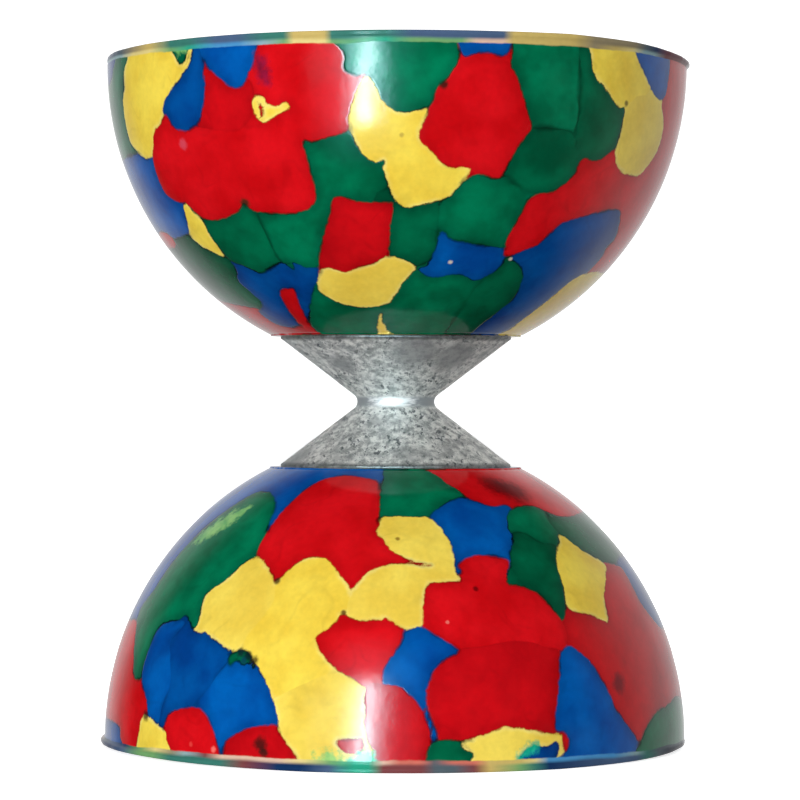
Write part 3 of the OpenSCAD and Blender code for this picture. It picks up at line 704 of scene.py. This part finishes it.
class Graph:
    """A node tree with short ways to add what the materials here need."""

    def __init__(self, tree):
        self.tree = tree
        tree.nodes.clear()

    def node(self, kind, **settings):
        made = self.tree.nodes.new(kind)
        for key, value in settings.items():
            setattr(made, key, value)
        return made

    def put(self, socket, value):
        if hasattr(value, "is_output"):
            self.tree.links.new(value, socket)
        else:
            socket.default_value = value

    def math(self, operation, *values):
        made = self.node("ShaderNodeMath", operation=operation)
        for socket, value in zip(made.inputs, values):
            self.put(socket, value)
        return made.outputs[0]

    def ramp(self, value, low, high, out_low=0.0, out_high=1.0):
        """A smooth step of value from out_low at low to out_high at high."""
        made = self.node("ShaderNodeMapRange", interpolation_type="SMOOTHSTEP")
        for socket, number in zip(made.inputs, (value, low, high, out_low, out_high)):
            self.put(socket, number)
        return made.outputs[0]

    def mix(self, factor, first, second, blend="MIX"):
        made = self.node("ShaderNodeMix", data_type="RGBA", blend_type=blend)
        self.put(made.inputs[0], factor)
        self.put(made.inputs[6], first)
        self.put(made.inputs[7], second)
        return made.outputs[2]

    def noise(self, where, size, detail=2.0, roughness=0.5, w=0.0, distortion=0.0):
        """Noise from 0 to 1 with features about size mm across, where the coordinate is in mm."""
        made = self.node("ShaderNodeTexNoise", noise_dimensions="4D")
        self.put(made.inputs["Vector"], where)
        made.inputs["W"].default_value = w
        made.inputs["Scale"].default_value = 1 / size
        made.inputs["Detail"].default_value = detail
        made.inputs["Roughness"].default_value = roughness
        made.inputs["Distortion"].default_value = distortion
        return made.outputs[0]

    def cells(self, where, size):
        """Distance from the middle of the nearest cell, for cells about size mm across."""
        made = self.node("ShaderNodeTexVoronoi")
        self.put(made.inputs["Vector"], where)
        made.inputs["Scale"].default_value = 1 / size
        return made.outputs["Distance"]

    def field(self, name, output="Fac"):
        """A value that the mesh stores at each of its points."""
        return self.node("ShaderNodeAttribute", attribute_name=name).outputs[output]

    def distance(self, where, place):
        """Distance in mm from a fixed place."""
        made = self.node("ShaderNodeVectorMath", operation="DISTANCE")
        self.put(made.inputs[0], where)
        made.inputs[1].default_value = place
        return made.outputs["Value"]

    def shaded(self, factor, colour, shade):
        """The colour, multiplied by a shade as far as factor says."""
        return self.mix(factor, colour, self.mix(1.0, colour, (*shade, 1), blend="MULTIPLY"))

    def millimetres(self):
        """The point on the object, in mm."""
        place = self.node("ShaderNodeTexCoord").outputs["Object"]
        scaled = self.node("ShaderNodeVectorMath", operation="SCALE")
        self.put(scaled.inputs[0], place)
        scaled.inputs["Scale"].default_value = 1 / MM
        return scaled.outputs[0]

    def split(self, where):
        """The three parts of a coordinate."""
        made = self.node("ShaderNodeSeparateXYZ")
        self.put(made.inputs[0], where)
        return made.outputs

    def stretched(self, where, turn, stretch):
        """The coordinate turned by Euler angles in degrees, then stretched along each axis."""
        made = self.node("ShaderNodeMapping")
        self.put(made.inputs["Vector"], where)
        made.inputs["Rotation"].default_value = [math.radians(a) for a in turn]
        made.inputs["Scale"].default_value = stretch
        return made.outputs[0]

    def surface(self, colour, roughness, height=None, height_mm=0.02, **fixed):
        """The principled shader and the output; height_mm is how tall the bumps are, and fixed holds
        constant inputs."""
        shader = self.node("ShaderNodeBsdfPrincipled")
        self.put(shader.inputs["Base Color"], colour)
        self.put(shader.inputs["Roughness"], roughness)
        for key, value in fixed.items():
            shader.inputs[key.replace("_", " ")].default_value = value
        if height is not None:
            bump = self.node("ShaderNodeBump")
            bump.inputs["Distance"].default_value = height_mm * MM
            self.put(bump.inputs["Height"], height)
            self.put(shader.inputs["Normal"], bump.outputs[0])
        output = self.node("ShaderNodeOutputMaterial")
        self.put(output.inputs["Surface"], shader.outputs[0])
        return shader


def new_material(name):
    material = bpy.data.materials.new(name)
    material.use_nodes = True
    return material, Graph(material.node_tree)


def on_side(azimuth, height):
    """The point on a cup's side, in mm; a negative height is on the lower cup."""
    return round_axis(math.radians(azimuth), side_radius(abs(height)), height)


def rubber_tone(g, colour_name, cloud):
    """A rubber colour, clouded between its darker and its lighter tone."""
    dark, light = (linear(tone) for tone in RUBBER_COLOURS[colour_name])
    return g.mix(g.ramp(cloud, 0.3, 0.7), dark, light)


def family_look(g, where, index, names, raggedness):
    """How deep a point lies in one family of colours, in mm, the family's colour there, and the distance
    to the seam inside the family."""
    ragged = g.noise(where, 1.3, detail=3, roughness=0.6, w=1.7 * index)
    shift = g.math("MULTIPLY_ADD", ragged, 1.25 * raggedness, -0.62 * raggedness)
    looks = []
    for member, name in enumerate(names):
        depth = g.math("ADD", g.field("depth_" + name), shift)
        if member:
            wander = g.noise(where, 1.6, detail=3, w=50 + index)
            depth = g.math("ADD", depth, g.math("MULTIPLY_ADD", wander, 0.9, -0.45))
        cloud = g.noise(where, 7, detail=3, w=3.1 + 7 * member)
        looks.append((depth, rubber_tone(g, name, cloud)))
    (depth, colour), (other_depth, other_colour) = looks
    ahead = g.math("SUBTRACT", other_depth, depth)
    colour = g.mix(g.ramp(ahead, -0.25, 0.25), colour, other_colour)
    return g.math("MAXIMUM", depth, other_depth), colour, g.math("ABSOLUTE", ahead)


def nearest_lumps(g, where):
    """The colour of the lump that a point lies in, how it behaves at its edge, the distance to the seam
    inside its family, and how deep the point lies in the deepest, second and third family, in mm."""
    best, second, third = None, -50.0, -50.0
    for index, (names, seam, shade, fringe, raggedness, blur) in enumerate(FAMILIES):
        depth, own, own_inner = family_look(g, where, index, names, raggedness)
        own_manner = (seam, shade, fringe, 1)
        if best is None:
            best, colour, manner, inner = depth, own, own_manner, own_inner
            continue
        ahead = g.ramp(g.math("SUBTRACT", depth, best), -blur, blur)
        if index > 1:
            third = g.math("MAXIMUM", third, g.math("MINIMUM", second, depth))
        second = g.math("MAXIMUM", second, g.math("MINIMUM", best, depth))
        best = g.math("MAXIMUM", best, depth)
        colour = g.mix(ahead, colour, own)
        manner = g.mix(ahead, manner, own_manner)
        chosen = g.node("ShaderNodeMix")
        for socket, value in ((0, ahead), (2, inner), (3, own_inner)):
            g.put(chosen.inputs[socket], value)
        inner = chosen.outputs[0]
    return colour, manner, inner, best, second, third


def add_seams(g, where, lumps):
    """The lumps' colour with what shows along their edges, and how dark the seam is at each point."""
    colour, manner, inner, best, second, third = lumps
    split = g.node("ShaderNodeSeparateColor")
    g.put(split.inputs[0], manner)
    seam_take, shade_take, fringe_take = split.outputs
    gap = g.math("MULTIPLY", g.math("SUBTRACT", best, second), 0.5)

    # Each lump is a little darker towards its edge, and the yellow ones are fringed with cream
    near_edge = g.ramp(gap, 0.0, 2.4, 1.0, 0.0)
    colour = g.shaded(g.math("MULTIPLY", near_edge, shade_take), colour, (0.5, 0.44, 0.5))
    patchy = g.ramp(g.noise(where, 5, w=71), 0.35, 0.6)
    fringe = g.math("MULTIPLY", g.ramp(gap, 0.1, 0.85, 1.0, 0.0), patchy)
    colour = g.mix(g.math("MULTIPLY", fringe, fringe_take), colour, linear(CREAM_FRINGE))
    # Seams: dark lines where two lumps meet, in places wide, in places gone
    seam_width = g.ramp(g.noise(where, 6, detail=2, w=12.5), 0.36, 0.7, 0.16, 0.62)
    seam = g.ramp(g.math("DIVIDE", gap, seam_width), 0.15, 1.0, 1.0, 0.0)
    seam_strength = g.ramp(g.noise(where, 5, detail=2, w=41), 0.36, 0.62, 0.3, 1.0)
    seam = g.math("MULTIPLY", g.math("MULTIPLY", seam, seam_strength), seam_take)
    # Fainter ones where two lumps of one colour meet
    faint_width = g.ramp(g.noise(where, 4, detail=2, w=47), 0.36, 0.66, 0.5, 2.4)
    faint = g.ramp(g.math("DIVIDE", inner, faint_width), 0.0, 1.0, 0.6, 0.0)
    faint = g.math("MULTIPLY", faint, g.ramp(g.noise(where, 7, w=55), 0.35, 0.6))
    faint = g.math("MULTIPLY", faint, g.math("POWER", seam_take, 3.0))
    seam = g.math("MAXIMUM", seam, faint)
    # Dark pits where three lumps meet
    pit_size = g.ramp(g.noise(where, 5, detail=1, w=33), 0.35, 0.65, 0.3, 1.5)
    pit = g.ramp(g.math("DIVIDE", g.math("SUBTRACT", best, third), pit_size), 0.2, 1.0, 0.9, 0.0)
    seam = g.math("MAXIMUM", seam, g.math("MULTIPLY", pit, seam_strength))
    return g.shaded(seam, colour, (0.1, 0.1, 0.1)), seam


def add_marks(g, where, colour):
    """The colour with flow marks, smudges, specks and nicks on it."""
    # Soft flow marks inside the lumps
    vein = g.math("ABSOLUTE", g.math("SUBTRACT", g.noise(where, 8, detail=1, w=8.4, distortion=0.8), 0.5))
    vein_shows = g.ramp(g.noise(where, 6, w=61), 0.45, 0.65)
    vein = g.math("MULTIPLY", g.ramp(vein, 0.0, 0.05, 0.16, 0.0), vein_shows)
    colour = g.shaded(vein, colour, (0.4, 0.36, 0.4))
    for index, (name, raggedness, blur, strength) in enumerate(SMUDGES):
        ragged = g.noise(where, 1.5, detail=4, roughness=0.65, w=80 + index)
        shift = g.math("MULTIPLY_ADD", ragged, 2 * raggedness, -raggedness)
        depth = g.math("ADD", g.field("depth_" + name), shift)
        own = rubber_tone(g, name, g.noise(where, 2, detail=2, w=84 + index))
        colour = g.mix(g.ramp(depth, -blur, blur, 0.0, strength), colour, own)
    crumble = g.noise(where, 0.7, w=36)
    for azimuth, height, radius, speck_colour in SPECKS:
        away = g.math("MULTIPLY_ADD", crumble, radius, g.distance(where, on_side(azimuth, height)))
        colour = g.mix(g.ramp(away, 0.9 * radius, 2.0 * radius, 0.85, 0.0), colour, linear(speck_colour))
    return colour


def rubber_material():
    """Glossy rubber pressed from lumps of four colours, read from the depth_ fields of each cup."""
    material, g = new_material("marbled_rubber")
    where = g.millimetres()
    colour, seam = add_seams(g, where, nearest_lumps(g, where))
    colour = add_marks(g, where, colour)
    # The lip, smeared lengthwise; its colour holds a painted highlight at its foot
    wander = g.math("MULTIPLY_ADD", g.noise(where, 1.4, detail=3, w=90), 0.5, -0.25)
    cover = g.ramp(g.math("ADD", g.field("lip_cover"), wander), 0.25, 0.75)
    colour = g.mix(cover, colour, g.field("lip_colour_and_highlight", "Color"))

    fine_noise = g.noise(where, 0.9, detail=2, w=5.7)
    grained = g.node("ShaderNodeVectorMath", operation="SCALE")
    g.put(grained.inputs[0], colour)
    g.put(grained.inputs["Scale"], g.ramp(fine_noise, 0.2, 0.8, 0.95, 1.04))
    roughness = g.ramp(g.noise(where, 3, detail=3, w=22), 0.3, 0.75, 0.09, 0.15)
    height = g.math("ADD", g.math("MULTIPLY", fine_noise, 0.4), g.noise(where, 4, detail=3, w=2.2))
    height = g.math("SUBTRACT", height, g.math("MULTIPLY", seam, 0.8))
    shader = g.surface(grained.outputs[0], roughness, height, 0.03)
    g.put(shader.inputs["Specular IOR Level"], g.ramp(cover, 0.0, 1.0, 0.3, 0.06))
    return material


# Where the casting is smooth and dull: (azimuth, height, radius in mm)
SMOOTH_PATCHES = ((12, 9, 7), (38, 8, 6.5), (-68, -10.5, 6), (-40, 6.5, 3.5))
CONE_SLOPE = (FLANGE_R - WAIST_R) / BASE_Z


def aluminium_material():
    """Cast aluminium that has rolled about in a bag: mottled, pitted and scratched, and polished by the
    string at the waist, with a painted highlight on the waist's front and painted shade next to the cups."""
    material, g = new_material("worn_aluminium")
    where = g.millimetres()
    x, y, z = g.split(where)
    from_waist = g.math("ABSOLUTE", z)
    # What the string doesn't reach is rough, but for some patches
    worn = g.ramp(from_waist, 0.5, 1.2)
    smooth = 0.0
    for azimuth, level, radius in SMOOTH_PATCHES:
        middle = round_axis(math.radians(azimuth), WAIST_R + abs(level) * CONE_SLOPE, level)
        patch = g.ramp(g.math("DIVIDE", g.distance(where, middle), radius), 0.3, 1.0, 1.0, 0.0)
        smooth = g.math("MAXIMUM", smooth, patch)
    patches = g.ramp(g.noise(where, 6, detail=3, roughness=0.6, w=1.5), 0.5, 0.66)
    smooth = g.math("MULTIPLY", g.math("MAXIMUM", smooth, g.math("MULTIPLY", patches, 0.7)), worn)
    mottle = g.noise(where, 1.3, detail=4, roughness=0.75, w=4.2)
    grain = g.noise(where, 0.35, detail=3, roughness=0.7, w=9.1)
    # Short marks in three directions, each only where its own noise lets it show
    marks = 0.0
    for index, turn in enumerate(((25, 40, 10), (-35, 15, 70), (10, -50, 130))):
        lay = g.stretched(where, turn, (1, 0.32, 1))
        line = g.noise(lay, 1.0, detail=2, roughness=0.6, w=15 + 3 * index)
        marks = g.math("MAXIMUM", marks, g.ramp(line, 0.33, 0.4, 1.0, 0.0))
    show = g.ramp(g.noise(where, 4, detail=2, w=30), 0.34, 0.56, 0.25, 1.0)
    marks = g.math("MULTIPLY", g.math("MULTIPLY", marks, show), worn)
    pits = g.ramp(g.noise(where, 0.6, detail=1, w=37), 0.25, 0.33, 1.0, 0.0)
    marks = g.math("MAXIMUM", marks, g.math("MULTIPLY", pits, worn))
    marks = g.math("MULTIPLY", marks, g.ramp(smooth, 0.2, 1.0, 1.0, 0.12))
    colour = g.mix(g.ramp(mottle, 0.36, 0.62), linear((154, 155, 152)), linear((242, 240, 235)))
    colour = g.mix(g.math("MULTIPLY", smooth, 0.75), colour, linear((138, 138, 138)))
    colour = g.mix(g.math("MULTIPLY", marks, 0.85), colour, linear((60, 68, 72)))
    # Painted shade: the land and the top of each cone are darkened where the axle meets the cups
    painted_shade_at_cups = g.ramp(from_waist, BASE_Z - 1.1, BASE_Z - 0.5, 0.0, 0.7)
    colour = g.mix(painted_shade_at_cups, colour, linear((58, 64, 66)))
    # The string has polished the waist; a painted highlight lightens it round azimuth -5 degrees, with
    # ragged edges
    turned = g.math("ARCTAN2", x, g.math("MULTIPLY", y, -1.0))
    off_highlight = g.math("ABSOLUTE", g.math("ADD", turned, math.radians(5)))
    highlight_wobble = g.noise(g.stretched(where, (0, 0, 0), (1, 1, 4)), 1.2, detail=2, w=66)
    highlight_wobble = g.ramp(highlight_wobble, 0.3, 0.7, -0.2, 0.2)
    painted_highlight = g.ramp(g.math("ADD", off_highlight, highlight_wobble), math.radians(14), math.radians(46), 1.0, 0.0)
    colour = g.mix(worn, g.mix(painted_highlight, linear((158, 163, 165)), linear((250, 248, 246))), colour)
    rough = g.math("MULTIPLY_ADD", worn, g.ramp(mottle, 0.3, 0.7, -0.02, 0.06), 0.46)
    bumps = g.math("ADD", g.math("MULTIPLY", grain, 0.5), g.math("MULTIPLY", mottle, 0.9))
    bumps = g.math("SUBTRACT", bumps, g.math("MULTIPLY", marks, 0.8))
    bumps = g.math("MULTIPLY", bumps, g.ramp(worn, 0.0, 1.0, 0.1, 1.0))
    g.surface(colour, rough, bumps, 0.06, Metallic=0.36)
    return material


def zinc_material():
    """Bright zinc plating over turned and pressed steel."""
    material, g = new_material("zinc_plating")
    where = g.millimetres()
    cloud = g.noise(where, 4, detail=4, roughness=0.6, w=2.4)
    spangle = g.cells(where, 0.9)
    fine = g.noise(where, 0.25, detail=3, w=6)
    brushed = g.noise(g.stretched(where, (0, 0, 30), (0.2, 4, 1)), 0.6, detail=3, w=11)
    colour = g.mix(g.ramp(cloud, 0.3, 0.7), linear((172, 176, 182)), linear((208, 211, 214)))
    colour = g.mix(g.ramp(spangle, 0.0, 0.8, 0.12, 0.0), colour, linear((236, 238, 240)))
    stain = g.ramp(g.noise(where, 2.2, detail=4, roughness=0.7, w=19), 0.58, 0.74, 0.0, 0.45)
    colour = g.mix(stain, colour, linear((120, 112, 100)))
    rough = g.math("ADD", g.ramp(brushed, 0.2, 0.8, 0.2, 0.34), g.math("MULTIPLY", stain, 0.3))
    bumps = g.math("ADD", g.math("MULTIPLY", brushed, 0.5), g.math("MULTIPLY", fine, 0.5))
    g.surface(colour, rough, bumps, 0.02, Metallic=0.5)
    return material


# ---------------------------------------------------------------------------------------------
# The axle
# ---------------------------------------------------------------------------------------------
HOLE_R = 4.08
HOLE_DEPTH = 12
HOLE_TIP = 2
THREAD_DEPTH = 0.7


def axle_section():
    """Half of the axle's section, (radius, height) in mm, from the tapped hole out and down to the waist."""
    cone_z = BASE_Z - LAND_H
    groove_x = WAIST_R + GROOVE_R
    reach = (groove_x - FLANGE_R, cone_z)
    lean = math.degrees(math.asin(GROOVE_R / math.hypot(*reach)) + math.atan2(-reach[0], reach[1]))
    touch = (groove_x - GROOVE_R * math.cos(math.radians(lean)), GROOVE_R * math.sin(math.radians(lean)))
    return [
        (0.05, SPIGOT_Z - HOLE_DEPTH - HOLE_TIP),
        (HOLE_R - THREAD_DEPTH, SPIGOT_Z - HOLE_DEPTH),
        (HOLE_R - THREAD_DEPTH, SPIGOT_Z - 1),
        (HOLE_R, SPIGOT_Z - 0.1),
        (HOLE_R + 0.15, SPIGOT_Z),
        (SPIGOT_R - 0.5, SPIGOT_Z),
        (SPIGOT_R - 0.05, SPIGOT_Z - 0.45),
        (SPIGOT_R, SPIGOT_Z - 0.7),
        (SPIGOT_R, BASE_Z + 0.15),
        (SPIGOT_R + 0.2, BASE_Z),
        (FLANGE_R - 0.25, BASE_Z),
        (FLANGE_R - 0.05, BASE_Z - 0.05),
        (FLANGE_R, BASE_Z - 0.15),
        (FLANGE_R, cone_z + 0.08),
        (FLANGE_R - 0.04, cone_z - 0.04),
        *line_points((FLANGE_R - 0.18, cone_z - 0.14), touch, 96)[:-1],
        *arc_points((groove_x, 0), GROOVE_R, 180 - lean, 180, 14),
    ]


def make_axle():
    """The one-piece double cone, with the pits and dents of use in its mesh."""
    half = axle_section()
    section = np.array(half + [(r, -z) for r, z in half[-2::-1]])
    columns = AXLE_COLUMNS
    turn = np.linspace(0, 2 * math.pi, columns, endpoint=False)
    radius = np.repeat(section[:, 0], columns)
    height = np.repeat(section[:, 1], columns)
    angle = np.tile(turn, len(section))
    points = np.stack(round_axis(angle, radius, height), 1)
    worn = np.clip((np.abs(height) - 1.0) / 1.2, 0, 1) * (np.abs(height) < BASE_Z - 0.3) * (radius > WAIST_R)
    dents = np.clip(waves(points, 1.6, 901) - 0.75, 0, 1) + np.clip(waves(points, 0.9, 902) - 0.9, 0, 1)
    relief = 0.018 * waves(points, 4.5, 903) + 0.008 * waves(points, 1.3, 904) - 0.05 * dents
    land = (np.abs(height) > BASE_Z - LAND_H - 0.2) & (radius > FLANGE_R - 0.5)
    relief = relief * worn + 0.04 * waves(points, 2.6, 905) * land
    push_out(points, radius, relief)
    return ring_mesh("axle_double_cone", points, len(section), columns, True)


# ---------------------------------------------------------------------------------------------
# Floor, light and camera
# ---------------------------------------------------------------------------------------------
FLOOR_HALF_M = 6.0
CAMERA_PLACE_M = Vector((0.00075, -0.680, 0.0003))
CAMERA_LENS = 170.8
CAMERA_ROLL = 0.2
EVEN_LIGHT = 0.33
WHITE_SEEN = 1.3
# The strip light in the reflections: its azimuth, and how far that leans with the elevation
STRIP_AZIMUTH = -12.0
STRIP_LEAN = 0.06
STRIP_LIGHT = 18.0
WALL_LIGHT = 0.75
DIM_FRONT = 0.01
# How much red, green and blue the light close to the strip and the light far from it hold
HALO_LIGHT = (14.0, 25.0, 28.0)
GLOW_LIGHT = (0.5, 1.8, 2.4)


def make_floor():
    """A wide pale floor that the diabolo stands on."""
    mesh = bpy.data.meshes.new("floor")
    corners = ((-1, -1), (1, -1), (1, 1), (-1, 1))
    base = cad_bounds[0].z
    mesh.from_pydata([(x * FLOOR_HALF_M, y * FLOOR_HALF_M, base) for x, y in corners], [], [(0, 1, 2, 3)])
    floor = bpy.data.objects.new("floor", mesh)
    bpy.context.scene.collection.objects.link(floor)
    material, g = new_material("pale_floor")
    speckle = g.noise(g.millimetres(), 40, detail=3, w=1)
    pale = g.mix(speckle, (0.9, 0.9, 0.9, 1), (0.94, 0.94, 0.94, 1))
    shader = g.surface(pale, 0.9, Specular_IOR_Level=0.1, Emission_Strength=0.8)
    shader.inputs["Emission Color"].default_value = (1, 1, 1, 1)
    # From below the floor can be seen through, so that the underside can be looked at
    through = g.node("ShaderNodeMixShader")
    g.put(through.inputs[0], g.node("ShaderNodeNewGeometry").outputs["Backfacing"])
    g.put(through.inputs[1], shader.outputs[0])
    g.put(through.inputs[2], g.node("ShaderNodeBsdfTransparent").outputs[0])
    g.put(g.tree.nodes["Material Output"].inputs["Surface"], through.outputs[0])
    mesh.materials.append(material)
    floor.visible_glossy = False
    floor.visible_diffuse = False


def aim(thing, place, target, roll=0.0):
    """Puts a light or a camera at a place, aimed at a target, and rolled by an angle in degrees."""
    thing.location = place
    look = (Vector(target) - Vector(place)).to_track_quat("-Z", "Y")
    thing.rotation_mode = "QUATERNION"
    thing.rotation_quaternion = look @ Quaternion((0, 0, 1), math.radians(roll))


def soft_light(name, azimuth, elevation, distance, size, power):
    """A large square light, aimed at the waist, that shows in no reflection."""
    data = bpy.data.lights.new(name, "AREA")
    data.shape = "SQUARE"
    data.size = size
    data.energy = power
    light = bpy.data.objects.new(name, data)
    bpy.context.scene.collection.objects.link(light)
    rise = math.radians(elevation)
    place = round_axis(math.radians(azimuth), distance * math.cos(rise), distance * math.sin(rise))
    aim(light, place, (0, 0, 0))
    light.visible_glossy = False


def studio_world():
    """White all round to the camera, even light for the object, and what the rubber reflects: a dim front
    with one tall strip light, and broad pale walls behind on both sides."""
    world = bpy.data.worlds.new("studio")
    bpy.context.scene.world = world
    world.use_nodes = True
    g = Graph(world.node_tree)
    x, y, z = g.split(g.node("ShaderNodeTexCoord").outputs["Generated"])
    azimuth = g.math("ARCTAN2", x, g.math("MULTIPLY", y, -1.0))
    elevation = g.math("ARCSINE", z)
    steep = g.math("ABSOLUTE", elevation)

    def fade(value, low, high, out_low=0.0, out_high=1.0):
        """A smooth step between two angles in degrees."""
        return g.ramp(value, math.radians(low), math.radians(high), out_low, out_high)

    lean = g.math("MULTIPLY_ADD", elevation, STRIP_LEAN, math.radians(STRIP_AZIMUTH))
    off_strip = g.math("ABSOLUTE", g.math("SUBTRACT", azimuth, lean))
    tall = g.math("MULTIPLY", fade(elevation, -29, -21), fade(elevation, 21, 28, 1.0, 0.0))
    strip = g.math("MULTIPLY", fade(off_strip, 1.2, 3.8, 1.0, 0.0), tall)
    halo = g.math("MULTIPLY", g.math("POWER", fade(off_strip, 0, 15, 1.0, 0.0), 2.0), tall)
    glow = g.math("MULTIPLY", fade(off_strip, 2, 28, 1.0, 0.0), fade(steep, 25, 45, 1.0, 0.0))
    walls = g.math("MAXIMUM", fade(azimuth, 72, 126), fade(azimuth, -156, -122, 1.0, 0.0))
    walls = g.math("MULTIPLY", walls, fade(steep, 22, 47, 1.0, 0.0))

    # The strip and the walls are white; what spreads from the strip is bluish
    white = g.math("MULTIPLY_ADD", strip, STRIP_LIGHT, DIM_FRONT)
    white = g.math("MULTIPLY_ADD", walls, WALL_LIGHT, white)
    shine = g.node("ShaderNodeCombineColor")
    for socket, halo_light, glow_light in zip(shine.inputs, HALO_LIGHT, GLOW_LIGHT):
        spread = g.math("MULTIPLY_ADD", halo, halo_light, white)
        g.put(socket, g.math("MULTIPLY_ADD", glow, glow_light, spread))

    def background(colour, strength):
        made = g.node("ShaderNodeBackground")
        g.put(made.inputs["Color"], colour)
        g.put(made.inputs["Strength"], strength)
        return made.outputs[0]

    def choose(ray, otherwise, chosen):
        """One background for rays of a kind, the other for the rest."""
        made = g.node("ShaderNodeMixShader")
        for socket, value in zip(made.inputs, (path.outputs[ray], otherwise, chosen)):
            g.put(socket, value)
        return made.outputs[0]

    path = g.node("ShaderNodeLightPath")
    white_colour = (1, 1, 1, 1)
    lit = choose("Is Glossy Ray", background(white_colour, EVEN_LIGHT), background(shine.outputs[0], 1.0))
    seen = choose("Is Camera Ray", lit, background(white_colour, WHITE_SEEN))
    output = g.node("ShaderNodeOutputWorld")
    g.put(output.inputs["Surface"], seen)


def make_camera():
    data = bpy.data.cameras.new("camera")
    data.sensor_width = 36
    data.lens = CAMERA_LENS
    data.clip_end = 30
    camera = bpy.data.objects.new("camera", data)
    bpy.context.scene.collection.objects.link(camera)
    aim(camera, CAMERA_PLACE_M, CAMERA_PLACE_M + Vector((0, 1, 0)), CAMERA_ROLL)
    bpy.context.scene.camera = camera


# ---------------------------------------------------------------------------------------------
# The scene
# ---------------------------------------------------------------------------------------------
bpy.context.scene.view_settings.view_transform = "Standard"
bpy.context.scene.view_settings.look = "None"

make_camera()
rubber = rubber_material()
upper = make_cup("upper_cup_rubber", UPPER_LUMPS, UPPER_LIP, UPPER_SAG, UPPER_LEAN, 11, False)
lower = make_cup("lower_cup_rubber", LOWER_LUMPS, LOWER_LIP, LOWER_SAG, LOWER_LEAN, 23, True)
for cup, node in ((upper, "upper_cup"), (lower, "lower_cup")):
    cup.data.materials.append(rubber)
    cup.visible_glossy = False
    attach(cup, "root")
    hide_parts(node)

axle = make_axle()
axle.data.materials.append(aluminium_material())
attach(axle, "root")
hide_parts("axle")

zinc = zinc_material()
for end in ("upper", "lower"):
    for part in ("clamp_washer", "spring_washer", "bolt"):
        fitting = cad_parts[end + "_" + part]
        fitting.data.materials.clear()
        fitting.data.materials.append(zinc)

make_floor()
studio_world()
soft_light("key", azimuth=-22, elevation=5, distance=1.3, size=0.55, power=17)
soft_light("rear", azimuth=158, elevation=25, distance=1.3, size=0.6, power=10)
soft_light("right", azimuth=72, elevation=-12, distance=1.3, size=0.6, power=4)
